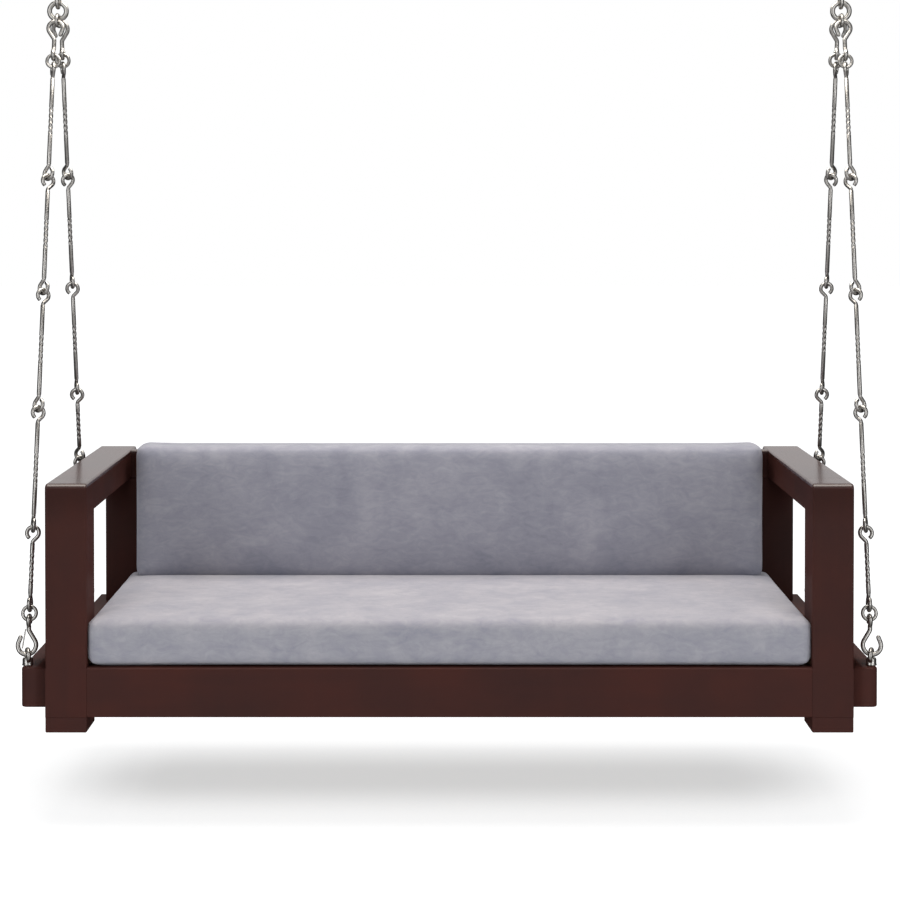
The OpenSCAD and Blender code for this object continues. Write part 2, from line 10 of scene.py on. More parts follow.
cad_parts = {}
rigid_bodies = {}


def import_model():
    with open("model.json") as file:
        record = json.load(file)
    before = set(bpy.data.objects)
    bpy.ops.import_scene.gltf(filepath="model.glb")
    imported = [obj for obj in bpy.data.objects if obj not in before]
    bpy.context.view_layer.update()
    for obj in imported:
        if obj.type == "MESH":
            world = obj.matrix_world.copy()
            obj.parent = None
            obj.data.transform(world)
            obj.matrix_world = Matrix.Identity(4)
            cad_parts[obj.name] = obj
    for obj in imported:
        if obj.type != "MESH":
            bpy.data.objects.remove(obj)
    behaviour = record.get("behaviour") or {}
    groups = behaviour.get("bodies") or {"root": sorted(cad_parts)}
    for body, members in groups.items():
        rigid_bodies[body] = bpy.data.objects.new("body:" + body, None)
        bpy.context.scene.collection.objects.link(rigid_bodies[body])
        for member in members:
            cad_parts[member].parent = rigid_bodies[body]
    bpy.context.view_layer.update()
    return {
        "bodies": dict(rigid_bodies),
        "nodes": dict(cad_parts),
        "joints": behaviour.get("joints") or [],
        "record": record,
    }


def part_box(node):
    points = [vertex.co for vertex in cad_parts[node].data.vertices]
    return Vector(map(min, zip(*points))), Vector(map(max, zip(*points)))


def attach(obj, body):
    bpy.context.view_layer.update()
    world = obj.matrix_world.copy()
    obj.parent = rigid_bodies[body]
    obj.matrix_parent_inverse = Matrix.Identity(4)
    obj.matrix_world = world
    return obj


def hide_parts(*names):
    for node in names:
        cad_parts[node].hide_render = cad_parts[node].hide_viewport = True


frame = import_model()


# ---- Camera ----
# It stands straight in front, a little above the seat, and looks down by one degree.
# The shift brings the bed into the lower part of the picture.
CAMERA_PLACE = (0, -4.711, 1.123)
CAMERA_PITCH = 1.0
FOCAL_LENGTH = 81.75
SHIFT_DOWN = 0.229
SHIFT_RIGHT = 0.0006

camera_data = bpy.data.cameras.new("camera")
camera_data.lens = FOCAL_LENGTH
camera_data.sensor_width = 36
camera_data.shift_x = SHIFT_RIGHT
camera_data.shift_y = -SHIFT_DOWN
camera = bpy.data.objects.new("camera", camera_data)
camera.location = CAMERA_PLACE
camera.rotation_euler = (math.radians(90 - CAMERA_PITCH), 0, 0)
bpy.context.scene.collection.objects.link(camera)
bpy.context.scene.camera = camera
bpy.context.scene.view_settings.view_transform = "Standard"


# ---- Studio ----
# A white room: one soft lamp overhead, a tall soft box on each side of the camera, and a white
# floor with a painted shadow under the bed. Reflections show a grey wall behind the camera, with
# darkness beside it.
FLOOR_Z = -0.21
FLOOR_SIZE = 30
FLOOR_COLOUR = (0.77, 0.80, 0.84, 1)
ROOM_LIGHT = 0.38
WHITE_WALL = 0.85
WHITE_WALL_RISE = (0.70, 0.92)
DARK_WALL = 0.05
CAMERA_WALL = 0.45
CAMERA_WALL_RISE = (0.25, 0.85)
WARM_LIGHT = (1.0, 0.96, 0.90)
COOL_LIGHT = (0.96, 0.975, 1.0)
# SHADOW_ and FAR_RISE shape the floor's glow into a painted shadow under the bed at rest.
SHADOW_FILL = 0.7
SHADOW_PLACE = (0.62, 0.06)
SHADOW_REACH = (0.35, 0.30)
SHADOW_RISE = (0.13, 1.13, 0.84, 1.22)
FAR_RISE = (1.0, 2.5, 0.0, 0.22)
OVERHEAD = dict(place=(0, -0.1, 3.1), aim=(0, 0, 0.2), size=(3.2, 2.2), power=112)
SOFT_BOX = dict(place=(2.6, -3.4, 1.5), aim=(0, 0, 0.5), size=(0.9, 3.0), power=26)
HAND = {"left": -1, "right": 1}
SIDES = tuple(HAND)


class Value:
    """A shader socket. Sums and products of it add Math nodes."""

    def __init__(self, finish, socket):
        self.finish = finish
        self.socket = socket

    def math(self, operation, *others):
        return self.finish.node(
            "ShaderNodeMath", {"operation": operation}, dict(enumerate((self, *others)))
        )

    def __add__(self, other):
        return self.math("ADD", other)

    def __sub__(self, other):
        return self.math("SUBTRACT", other)

    def __mul__(self, other):
        return self.math("MULTIPLY", other)

    def __rsub__(self, other):
        return self * -1 + other

    __radd__ = __add__
    __rmul__ = __mul__


class Finish:
    """A node tree, and the one way in which nodes are added to it."""

    def __init__(self, name, constants):
        self.material = bpy.data.materials.new(name)
        self.material.use_nodes = True
        self.tree = self.material.node_tree
        self.shader = self.tree.nodes["Principled BSDF"]
        for socket, value in constants.items():
            self.shader.inputs[socket].default_value = value

    def node(self, kind, settings=None, inputs=None, output=0):
        made = self.tree.nodes.new(kind)
        for key, value in (settings or {}).items():
            if key == "stops":
                ramp = made.color_ramp.elements
                while len(ramp) < len(value):
                    ramp.new(1)
                for element, (position, colour) in zip(ramp, value):
                    element.position = position
                    element.color = (*colour, 1)
            else:
                setattr(made, key, value)
        for key, value in (inputs or {}).items():
            if isinstance(value, Value):
                self.tree.links.new(value.socket, made.inputs[key])
            else:
                made.inputs[key].default_value = value
        return Value(self, made.outputs[output])

    def coordinates(self, scale=(1, 1, 1), shift=(0, 0, 0)):
        here = self.node("ShaderNodeTexCoord", output="Object")
        return self.node(
            "ShaderNodeMapping", inputs={"Vector": here, "Scale": scale, "Location": shift}
        )

    def noise(self, where, scale, detail, roughness, distortion=0.0):
        return self.node(
            "ShaderNodeTexNoise",
            inputs={
                "Vector": where,
                "Scale": scale,
                "Detail": detail,
                "Roughness": roughness,
                "Distortion": distortion,
            },
        )

    def ramp(self, value, stops):
        return self.node("ShaderNodeValToRGB", {"stops": stops}, {"Fac": value})

    def rise(self, value, low, high, bottom, top):
        limits = {"From Min": low, "From Max": high, "To Min": bottom, "To Max": top}
        return self.node(
            "ShaderNodeMapRange", {"interpolation_type": "SMOOTHSTEP"}, {"Value": value, **limits}
        )

    def mix(self, first, second, share, blend="MIX"):
        return self.node(
            "ShaderNodeMix",
            {"data_type": "RGBA", "blend_type": blend},
            {0: share, 6: first, 7: second},
            output=2,
        )

    def bump(self, height, distance, strength):
        normal = self.node(
            "ShaderNodeBump",
            inputs={"Height": height, "Distance": distance, "Strength": strength},
        )
        self.wire("Normal", normal)

    def wire(self, socket, value):
        self.tree.links.new(value.socket, self.shader.inputs[socket])


class Room(Finish):
    """The world's own node tree."""

    def __init__(self):
        world = bpy.data.worlds.new("white room")
        world.use_nodes = True
        self.tree = world.node_tree
        bpy.context.scene.world = world


def seen_by(tree):
    """What kind of ray sees the room: (the camera's own, one reflected in something)."""
    camera_ray = tree.node("ShaderNodeLightPath", output="Is Camera Ray")
    return camera_ray, Value(tree, camera_ray.socket.node.outputs["Is Glossy Ray"])


def facing(tree, direction, axis):
    return tree.node(
        "ShaderNodeVectorMath", {"operation": "DOT_PRODUCT"}, {0: direction, 1: axis}, "Value"
    )


def wall_behind_camera(tree, direction):
    """What reflections show on the camera's side: a grey wall, and darkness beside it."""
    share = facing(tree, direction, (0, -1, 0))
    return tree.rise(share, *CAMERA_WALL_RISE, DARK_WALL, CAMERA_WALL)


def linked(name, bm):
    """A new object of the scene with a bmesh as its mesh."""
    mesh = bpy.data.meshes.new(name)
    bm.to_mesh(mesh)
    bm.free()
    made = bpy.data.objects.new(name, mesh)
    bpy.context.scene.collection.objects.link(made)
    return made


def studio_floor():
    """Most of what the camera sees of the floor is a glow that is weaker under the bed, a painted
    shadow laid over the bed's own shadow. It was fitted to the photograph, with the bed at rest."""
    paint = Finish(
        "floor paint", {"Base Color": FLOOR_COLOUR, "Roughness": 1.0, "Specular IOR Level": 0.0}
    )
    camera_ray, glossy_ray = seen_by(paint)
    where = paint.coordinates()
    x, y = (paint.node("ShaderNodeSeparateXYZ", inputs={0: where}, output=k) for k in (0, 1))
    beside = x.math("ABSOLUTE").math("MAXIMUM", SHADOW_PLACE[0]) - SHADOW_PLACE[0]
    beside = beside * (1 / SHADOW_REACH[0])
    beyond = (y - SHADOW_PLACE[1]) * (1 / SHADOW_REACH[1])
    away = (beside * beside + beyond * beyond).math("SQRT")
    painted_shadow_fill = paint.rise(away, *SHADOW_RISE) + paint.rise(away, *FAR_RISE)
    # Painted shadow: the glow's strength is lower under the bed and rises to white further out.
    white = paint.node("ShaderNodeEmission", inputs={"Strength": painted_shadow_fill})
    bare = Value(paint, paint.shader.outputs[0])
    lit_and_painted_shadow = paint.node("ShaderNodeMixShader", inputs={0: camera_ray * SHADOW_FILL, 1: bare, 2: white})
    unit = {"operation": "NORMALIZE"}
    direction = paint.node("ShaderNodeVectorMath", unit, {0: where}, "Vector")
    glow = paint.node(
        "ShaderNodeEmission", inputs={"Strength": wall_behind_camera(paint, direction)}
    )
    whole = paint.node("ShaderNodeMixShader", inputs={0: glossy_ray, 1: lit_and_painted_shadow, 2: glow})
    output = paint.tree.nodes["Material Output"]
    paint.tree.links.new(whole.socket, output.inputs["Surface"])
    bm = bmesh.new()
    bmesh.ops.create_grid(
        bm,
        x_segments=1,
        y_segments=1,
        size=FLOOR_SIZE,
        matrix=Matrix.Translation((0, 0, FLOOR_Z)),
    )
    floor = linked("floor", bm)
    floor.data.materials.append(paint.material)


def room_light():
    room = Room()
    camera_ray, glossy_ray = seen_by(room)
    direction = room.node("ShaderNodeTexCoord", output="Generated")
    share = facing(room, direction, (0, 1, 0))
    backdrop = room.rise(share, *WHITE_WALL_RISE, 0.0, WHITE_WALL)
    mirrored = backdrop + wall_behind_camera(room, direction)
    around = glossy_ray * mirrored + (1 - glossy_ray) * ROOM_LIGHT
    background = room.tree.nodes["Background"]
    background.inputs["Color"].default_value = (1, 1, 1, 1)
    seen = camera_ray + (1 - camera_ray) * around
    room.tree.links.new(seen.socket, background.inputs["Strength"])


def lamp(name, place, aim, size, power, colour):
    data = bpy.data.lights.new(name, "AREA")
    data.shape = "RECTANGLE"
    data.size, data.size_y = size
    data.energy = power
    data.color = colour
    made = bpy.data.objects.new(name, data)
    made.location = place
    made.rotation_euler = (Vector(aim) - Vector(place)).to_track_quat("-Z", "Y").to_euler()
    made.visible_camera = False
    bpy.context.scene.collection.objects.link(made)


studio_floor()
room_light()
lamp("overhead", **OVERHEAD, colour=WARM_LIGHT)
for side in SIDES:
    x, y, z = SOFT_BOX["place"]
    lamp(f"soft box {side}", **{**SOFT_BOX, "place": (HAND[side] * x, y, z)}, colour=COOL_LIGHT)


# ---- Feet ----
# Square blocks of the same stained hardwood as the frame, one under each post. They are glued
# to the posts' lower ends, and their free edges are eased.
WAY = {"front": -1, "rear": 1}
ENDS = tuple(WAY)
FREE_EDGE = 0.005
JOINT_EDGE = 0.0006
TINY = 1e-6
CORNER_TURN = 0.5
SQUARE_TURN = 1.2
FOOT_EDGE = 0.003
GRAIN_STRETCH = {"x": (0.07, 1, 1), "y": (1, 0.07, 1), "z": (1, 1, 0.07)}
ARM_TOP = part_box("armrest_left")[1].z
# Painted shade: the wood is mixed towards black near the height of the arms' tops.
TOP_PAINTED_SHADE = 0.72
TOP_PAINTED_SHADE_FROM = 0.10
TOP_PAINTED_SHADE_TO = 0.02
THIN_COAT = 0.09
THICK_COAT = 0.75
THICK_COAT_FROM = 0.010
THICK_COAT_TO = 0.006
BLACK = (0, 0, 0, 1)
PORE_COLOUR = (0.022, 0.009, 0.008, 1)
wood_finishes = {}


def stained_with_painted_shade(grain, shift, depth=0.0):
    """Dark brown staining with the grain along one axis, and painted shade that darkens it near
    the height of the arms' tops. The lacquer is thin except on those tops. depth is how much
    painted shade darkens the whole piece."""
    key = (grain, shift, depth)
    if key in wood_finishes:
        return wood_finishes[key]
    wood = Finish(
        f"stained wood {grain} {shift:g}",
        {"Specular IOR Level": 0.0, "Coat IOR": 1.8, "Coat Roughness": 0.22},
    )
    across = wood.coordinates(GRAIN_STRETCH[grain], (shift, shift * 0.7, shift * 1.3))
    patches = wood.noise(wood.coordinates(shift=(shift, 0, 0)), 5.0, 3, 0.55)
    streaks = wood.noise(across, 22, 3, 0.5, 0.6)
    fine = wood.noise(across, 240, 3, 0.6)
    body = wood.ramp(
        streaks * 0.25 + patches * 0.75,
        [
            (0.32, (0.050, 0.0215, 0.0190)),
            (0.50, (0.060, 0.0225, 0.0188)),
            (0.68, (0.072, 0.0235, 0.0185)),
        ],
    )
    pores = wood.rise(fine, 0.62, 0.85, 0.0, 0.04)
    height = wood.node("ShaderNodeSeparateXYZ", inputs={0: wood.coordinates()}, output=2)
    # Painted shade by height, darkest at the arms' tops; depth darkens the whole piece.
    full = 1 - (1 - depth) * TOP_PAINTED_SHADE
    painted_shade = wood.rise(height, ARM_TOP - TOP_PAINTED_SHADE_FROM, ARM_TOP - TOP_PAINTED_SHADE_TO, depth, full)
    wood.wire("Base Color", wood.mix(wood.mix(body, PORE_COLOUR, pores), BLACK, painted_shade))
    wood.wire("Roughness", wood.rise(patches, 0.3, 0.7, 0.4, 0.5))
    coat_range = (ARM_TOP - THICK_COAT_FROM, ARM_TOP - THICK_COAT_TO)
    wood.wire("Coat Weight", wood.rise(height, *coat_range, THIN_COAT, THICK_COAT))
    wood_finishes[key] = wood.material
    return wood.material


def cut_through(bm, axis, level):
    """Cuts every face along a plane across one axis, and keeps both parts."""
    normal = Vector([k == axis for k in "xyz"])
    geom = bm.verts[:] + bm.edges[:] + bm.faces[:]
    bmesh.ops.bisect_plane(bm, geom=geom, plane_co=normal * level, plane_no=normal)


def add_piece(name, bm, material, body, slot, *replaced, even=False):
    """Turns a bmesh into a piece that stands for its CAD nodes."""
    piece = linked(name, bm)
    piece.data.shade_smooth()
    piece.data.materials.append(material)
    if even:
        piece.modifiers.new("even shading", "WEIGHTED_NORMAL").keep_sharp = True
    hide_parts(*replaced)
    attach(piece, body)
    return piece


def touches(edge, face, low, high):
    """Whether an edge lies on a side of a board, such as "+z"."""
    axis = "xyz".index(face[1])
    level = high[axis] if face[0] == "+" else low[axis]
    return all(abs(v.co[axis] - level) < TINY for v in edge.verts)


def corner_edges(bm):
    """The edges at which a shape turns by more than a rounded edge's small steps."""
    return [e for e in bm.edges if e.calc_face_angle(0) > CORNER_TURN]


def ease(bm, edges, radius, segments=4):
    bmesh.ops.bevel(
        bm,
        geom=edges,
        offset=radius,
        offset_type="OFFSET",
        segments=segments,
        profile=0.5,
        affect="EDGES",
        material=-1,
        clamp_overlap=True,
    )


def board_shape(bm, low, high):
    centre = (Vector(low) + Vector(high)) / 2
    bmesh.ops.create_cube(
        bm, size=1, matrix=Matrix.LocRotScale(centre, None, Vector(high) - Vector(low))
    )


def wooden_board(
    name, node, grain, joints, edge=FREE_EDGE, shift=0.0, levels=(), butts=(), crown=0.0
):
    """A board in its CAD node's place. Edges on a side that is glued to another board stay
    nearly square; butts are (side, side, axis, lowest, highest) stretches of an edge that do
    so, and levels are (axis, level) planes where such a stretch ends. crown is a wider radius
    for the front edge of its top."""
    low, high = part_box(node)
    bm = bmesh.new()
    board_shape(bm, low, high)
    for axis, level in levels:
        cut_through(bm, axis, level)
    if crown:
        top_front = [
            e for e in bm.edges if touches(e, "-y", low, high) and touches(e, "+z", low, high)
        ]
        ease(bm, top_front, crown, segments=8)

    def is_joint(e):
        if any(touches(e, face, low, high) for face in joints):
            return True
        middle = (e.verts[0].co + e.verts[1].co) / 2
        return any(
            touches(e, first, low, high)
            and touches(e, second, low, high)
            and lowest < middle["xyz".index(axis)] < highest
            for first, second, axis, lowest, highest in butts
        )

    ease(bm, [e for e in corner_edges(bm) if not is_joint(e)], edge)
    ease(bm, [e for e in bm.edges if e.calc_face_angle(0) > SQUARE_TURN], JOINT_EDGE, segments=1)
    add_piece(name, bm, stained_with_painted_shade(grain, shift), "bed", "stained_wood", node, even=True)


for end in ENDS:
    for side in SIDES:
        wooden_board(
            f"foot_block_{end}_{side}", f"foot_{end}_{side}", "z", ["+z"], FOOT_EDGE, 0.4
        )


# ---- Posts ----
# Square hardwood posts, as tall as the armrests in front and cut off under them behind. Their
# edges are rounded over, the top's front edge the most, except where a rail or beam is glued
# on flush with the face.
ROUNDED_EDGE = 0.005
POST_CROWN = 0.013
OUTER = {"left": "-x", "right": "+x"}
INNER = {"left": "+x", "right": "-x"}
# Painted shade: the rear posts, in the dark corners behind the arms, are painted darker all over.
REAR_PAINTED_SHADE = 0.42
REAR_EDGE = 3 * JOINT_EDGE
RAIL_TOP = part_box("front_rail")[1].z
BEAM_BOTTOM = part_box("hanging_beam_left")[0].z

for side, shift in (("left", 1.3), ("right", 2.1)):
    wooden_board(
        f"front_post_board_{side}",
        f"front_post_{side}",
        "z",
        ["+y", "-z"],
        ROUNDED_EDGE,
        shift,
        levels=[("z", RAIL_TOP)],
        butts=[("-y", face, "z", 0, RAIL_TOP) for face in (INNER[side], OUTER[side])],
        crown=POST_CROWN,
    )


def new_verts(made):
    return [g for g in made if isinstance(g, bmesh.types.BMVert)]


def notched_post(side, shift):
    """A rear post, cut away behind the side rail that passes it."""
    low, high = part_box(f"rear_post_{side}")
    rail_low, rail_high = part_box(f"side_rail_{side}")
    cut_x = rail_high.x if side == "left" else rail_low.x
    bm = bmesh.new()
    board_shape(bm, (low.x, low.y, rail_high.z), high)
    cut_through(bm, "x", cut_x)
    under = [
        f
        for f in bm.faces
        if f.normal.z < -0.9 and (f.calc_center_median().x - cut_x) * HAND[side] < 0
    ]
    pulled = bmesh.ops.extrude_face_region(bm, geom=under)["geom"]
    bmesh.ops.delete(bm, geom=under, context="FACES_ONLY")
    bmesh.ops.translate(bm, verts=new_verts(pulled), vec=(0, 0, low.z - rail_high.z))
    bmesh.ops.recalc_face_normals(bm, faces=bm.faces)
    free = [e for e in corner_edges(bm) if not touches(e, "+z", low, high)]
    ease(bm, free, REAR_EDGE, segments=2)
    add_piece(
        f"rear_post_board_{side}",
        bm,
        stained_with_painted_shade("z", shift, REAR_PAINTED_SHADE),
        "bed",
        "stained_wood",
        f"rear_post_{side}",
        even=True,
    )


notched_post("left", 3.2)
notched_post("right", 4.4)


# ---- Rails ----
# The front and rear rails carry the seat slats' ledgers and are flush with the posts' faces.
# The side rails run behind the front posts, outside the cushion.
SIDE_RAIL_EDGE = 0.003

wooden_board("front_rail_board", "front_rail", "x", ["-x", "+x"], shift=5.0)
wooden_board("rear_rail_board", "rear_rail", "x", ["-x", "+x"], shift=5.9)
for side in SIDES:
    wooden_board(
        f"side_rail_board_{side}", f"side_rail_{side}", "y", ["-y"], SIDE_RAIL_EDGE, 6.6
    )


# ---- Hanging beams ----
# A beam outside each pair of posts takes the eye bolts. Its outer corners are rounded more, and
# its inner face is glued and bolted to the posts and the side rail.
BEAM_CORNER = 0.013
BEAM_RIM = 0.0035
BORE = 0.0053
COUNTERBORE = 0.015
COUNTERBORE_DEPTH = 0.022
PAST = 0.01
BOLT_Y = 0.324
HANG_X = 0.9035
CHAIN_OFFSET = 0.005


def remade(obj, kind, **settings):
    """Puts a modifier on, keeps its result as the mesh and takes it off again."""
    modifier = obj.modifiers.new("step", kind)
    for key, value in settings.items():
        setattr(modifier, key, value)
    evaluated = obj.evaluated_get(bpy.context.evaluated_depsgraph_get())
    mesh = bpy.data.meshes.new_from_object(evaluated)
    obj.modifiers.remove(modifier)
    obj.data = mesh


def bore(piece, hand):
    """Drills a beam for its two eye bolts, with a counterbore from below for each nut."""
    bm = bmesh.new()
    low = BEAM_BOTTOM - PAST
    drills = ((BORE, RAIL_TOP + PAST), (COUNTERBORE, BEAM_BOTTOM + COUNTERBORE_DEPTH))
    for way in WAY.values():
        for radius, top in drills:
            centre = (hand * (HANG_X - way * CHAIN_OFFSET), way * BOLT_Y, (low + top) / 2)
            bmesh.ops.create_cone(
                bm,
                cap_ends=True,
                segments=48,
                radius1=radius,
                radius2=radius,
                depth=top - low,
                matrix=Matrix.Translation(centre),
            )
    cutter = linked("drills", bm)
    remade(piece, "BOOLEAN", operation="DIFFERENCE", object=cutter, use_self=True)
    bpy.data.objects.remove(cutter)


def hanging_beam(side):
    node = f"hanging_beam_{side}"
    low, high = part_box(node)
    bm = bmesh.new()
    board_shape(bm, low, high)
    upright = [
        e
        for e in bm.edges
        if touches(e, OUTER[side], low, high)
        and (touches(e, "-y", low, high) or touches(e, "+y", low, high))
    ]
    ease(bm, upright, BEAM_CORNER, segments=6)
    rim = [
        e
        for e in corner_edges(bm)
        if not touches(e, INNER[side], low, high)
        and (touches(e, "-z", low, high) or touches(e, "+z", low, high))
    ]
    ease(bm, rim, BEAM_RIM, segments=3)
    beam = add_piece(f"beam_{side}", bm, stained_with_painted_shade("y", 7.7), "bed", "stained_wood", node)
    bore(beam, HAND[side])
    beam.modifiers.new("even shading", "WEIGHTED_NORMAL").keep_sharp = True


for side in SIDES:
    hanging_beam(side)


# ---- Armrests ----
# A broad board on each side, flush with the front post's top, on the rear post behind. Lacquer
# makes its top shine at a low angle.
for side, shift in (("left", 8.1), ("right", 9.4)):
    wooden_board(f"armrest_board_{side}", f"armrest_{side}", "y", ["-y"], ROUNDED_EDGE, shift)


# ---- Back ----
# Two rails between the rear posts with thirteen upright slats let into them. The back cushion
# leans on them.
BACK_SLATS = 13
BACK_SLAT_W = 0.058
SLAT_EDGE = 0.002

wooden_board("back_top_board", "back_top_rail", "x", ["-x", "+x"], shift=2.7)
wooden_board("back_bottom_board", "back_bottom_rail", "x", ["-x", "+x"], shift=3.9)


def upright_slats():
    low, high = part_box("back_slats")
    pitch = (high.x - low.x - BACK_SLAT_W) / (BACK_SLATS - 1)
    bm = bmesh.new()
    for i in range(BACK_SLATS):
        x = low.x + i * pitch
        board_shape(bm, (x, low.y, low.z), (x + BACK_SLAT_W, high.y, high.z))
    uprights = [e for e in bm.edges if abs(e.verts[0].co.z - e.verts[1].co.z) > 0.01]
    ease(bm, uprights, SLAT_EDGE, segments=2)
    wood = stained_with_painted_shade("z", 1.9)
    add_piece("back_slat_boards", bm, wood, "bed", "stained_wood", "back_slats", even=True)


upright_slats()


# ---- Seat supports ----
# Plain pine under the cushion: ledgers screwed to the rails, a bearer across the middle and
# fourteen slats. It is planed and left without stain.
def plain_wood(name, grain):
    pine = Finish(name, {"Specular IOR Level": 0.3})
    across = pine.coordinates(GRAIN_STRETCH[grain])
    streaks = pine.noise(across, 30, 4, 0.6, 0.8)
    fine = pine.noise(across, 210, 3, 0.6)
    body = pine.ramp(
        streaks * 0.8 + fine * 0.2,
        [(0.35, (0.46, 0.29, 0.15)), (0.52, (0.56, 0.38, 0.21)), (0.70, (0.66, 0.48, 0.29))],
    )
    pine.wire("Base Color", body)
    pine.wire("Roughness", pine.rise(fine, 0.3, 0.7, 0.55, 0.7))
    pine.bump(streaks * 0.3 + fine, 0.0002, 0.7)
    return pine.material


def give(material, *names):
    """A CAD node keeps its shape and gets this material."""
    for name in names:
        for slot in frame["nodes"][name].material_slots:
            slot.material = material


give(plain_wood("pine along x", "x"), "front_ledger", "rear_ledger", "centre_bearer")
give(plain_wood("pine along y", "y"), "seat_slats")


# ---- Screws, bolts, washers and nuts ----
# Zinc-plated fasteners: countersunk screws in the slats, lag bolts through the side rails, and
# a washer and nut under each eye bolt.
def zinc_plate():
    zinc = Finish("zinc plate", {"Metallic": 1.0})
    spangle = zinc.noise(zinc.coordinates(), 260, 3, 0.6)
    grey = zinc.ramp(spangle, [(0.3, (0.50, 0.50, 0.51)), (0.7, (0.66, 0.66, 0.67))])
    zinc.wire("Base Color", grey)
    zinc.wire("Roughness", zinc.rise(spangle, 0.3, 0.7, 0.3, 0.42))
    return zinc.material


give(zinc_plate(), "slat_screws", "beam_bolts", "eye_bolt_washers", "eye_bolt_nuts")


# ---- Eye bolts ----
# Forged stainless eye bolts: a thick ring on a collar whose shank goes down through the beam.
# They are turned a little out of line, as they come when they are tightened.
BOLT_EYE_R = 0.013
BOLT_WIRE = 0.005
BOLT_EYE_Z = RAIL_TOP + 0.020
BOLT_TURN = 20
COLLAR = [
    (0.0120, 0.0),
    (0.0120, 0.0022),
    (0.0113, 0.0030),
    (0.0113, 0.0124),
    (0.0107, 0.0140),
    (0.0096, 0.0158),
    (0.0, 0.0160),
]
SHANK_R = 0.005
SHANK_EDGE = 0.0007
SHANK_BOTTOM = BEAM_BOTTOM + 0.007
WIRE_SIDES = 20
RING_STEPS = 64
LATHE_STEPS = 40


def bright_steel():
    steel = Finish("bright steel", {"Metallic": 1.0})
    where = steel.coordinates()
    cloudy = steel.noise(where, 90, 4, 0.6)
    grey = steel.ramp(cloudy, [(0.3, (0.50, 0.48, 0.455)), (0.7, (0.58, 0.56, 0.53))])
    steel.wire("Base Color", grey)
    steel.wire("Roughness", steel.rise(cloudy, 0.3, 0.7, 0.27, 0.32))
    return steel.material


steel = bright_steel()


def add_steel(name, bm, side, body, *replaced):
    """Finishes a piece of steel. Everything is drawn on the right and mirrored to the left."""
    bmesh.ops.scale(bm, verts=bm.verts, vec=(HAND[side], 1, 1))
    bmesh.ops.recalc_face_normals(bm, faces=bm.faces)
    add_piece(name, bm, steel, body, "bright_steel", *replaced)


def ring_edges(verts):
    """The edges between these vertices, always in the same order."""
    kept = set(verts)
    met = dict.fromkeys(e for v in verts for e in v.link_edges)
    return [e for e in met if set(e.verts) <= kept]


def torus(bm, place, radius, wire):
    """A closed ring in the XZ plane of place."""
    section = bmesh.ops.create_circle(
        bm, segments=WIRE_SIDES, radius=wire, matrix=place @ Matrix.Translation((radius, 0, 0))
    )["verts"]
    bmesh.ops.spin(
        bm,
        geom=section + ring_edges(section),
        cent=place.translation,
        axis=place.to_3x3() @ Vector((0, 1, 0)),
        angle=math.tau,
        steps=RING_STEPS,
        use_merge=True,
    )
    bmesh.ops.recalc_face_normals(bm, faces=bm.faces)


def lathe(bm, place, outline):
    """An outline of (radius, height) pairs turned round place's Z axis."""
    verts = [bm.verts.new(place @ Vector((r, 0, z))) for r, z in outline]
    edges = [bm.edges.new(pair) for pair in zip(verts, verts[1:])]
    bmesh.ops.spin(
        bm,
        geom=verts + edges,
        cent=place.translation,
        axis=place.to_3x3() @ Vector((0, 0, 1)),
        angle=math.tau,
        steps=LATHE_STEPS,
        use_merge=True,
    )
    bmesh.ops.remove_doubles(bm, verts=bm.verts, dist=TINY)


def eye_bolt(side, end):
    way = WAY[end]
    x = HANG_X - way * CHAIN_OFFSET
    bm = bmesh.new()
    lathe(bm, Matrix.Translation((x, way * BOLT_Y, RAIL_TOP)), [(0.0, 0.0), *COLLAR])
    shank = [
        (0.0, SHANK_BOTTOM),
        (SHANK_R - SHANK_EDGE, SHANK_BOTTOM),
        (SHANK_R, SHANK_BOTTOM + SHANK_EDGE),
        (SHANK_R, RAIL_TOP),
        (0.0, RAIL_TOP),
    ]
    lathe(bm, Matrix.Translation((x, way * BOLT_Y, 0)), shank)
    turn = Matrix.Rotation(math.radians(90 + way * BOLT_TURN), 4, "Z")
    torus(bm, Matrix.Translation((x, way * BOLT_Y, BOLT_EYE_Z)) @ turn, BOLT_EYE_R, BOLT_WIRE)
    add_steel(f"forged_eye_bolt_{end}_{side}", bm, side, "bed", f"eye_bolt_{end}_{side}")


for end in ENDS:
    for side in SIDES:
        eye_bolt(side, end)


# ---- Chains: lower hooks ----
# Open hooks of bright wire, bent so that the bed can be unhooked. Each has a closed eye across
# its top. The left front one keeps a thin wire across its mouth.
HANG_Y = 0.015
HANG_Z = 1.5435
HOOK_SIDE = 0.0125
HOOK_WIRE = 0.005
HOOK_BEND = 0.0196
HOOK_OFF = 0.0025
HOOK_GAP = 0.001
HOOK_DROP = BOLT_EYE_R - BOLT_WIRE - HOOK_WIRE - HOOK_GAP
HOOK_EYE = 0.0096
HOOK_EYE_ARC = 245
EYE_TIP = 0.002
HOOK_NECK = 0.007
HOOK_TIP = 0.0105
HOOK_TIP_A = 20
HOOK_LEAN = 33
HOOK_SHANK_BEND = 0.012
EYE_LEAN = math.radians(45)
SLACK = 0.0003
RING_R = 0.0146
RING_WIRE = 0.00385
ROD_WIRE = 0.0044
ROD_EYE = 0.0132
EYE_STEP = 2 * (ROD_EYE - ROD_WIRE) - SLACK
LONG_STEP = 0.26375
ROD_LENGTHS = {"long": LONG_STEP - EYE_STEP, "short": 0.1532}
FIRST_JOINT = {"front": 0.096, "rear": 0.090}
ORDER = {
    "front": ("long", "long", "long", "long", "short"),
    "rear": ("long", "long", "long", "short", "long"),
}
ROD_TO_RING = (ROD_EYE - ROD_WIRE) + (RING_R - RING_WIRE) - SLACK
RING_TO_HOOK = (RING_R - RING_WIRE) + (HOOK_EYE - HOOK_WIRE) - SLACK
DEGREES_A_STEP = 9
CUT_EDGE = 0.2


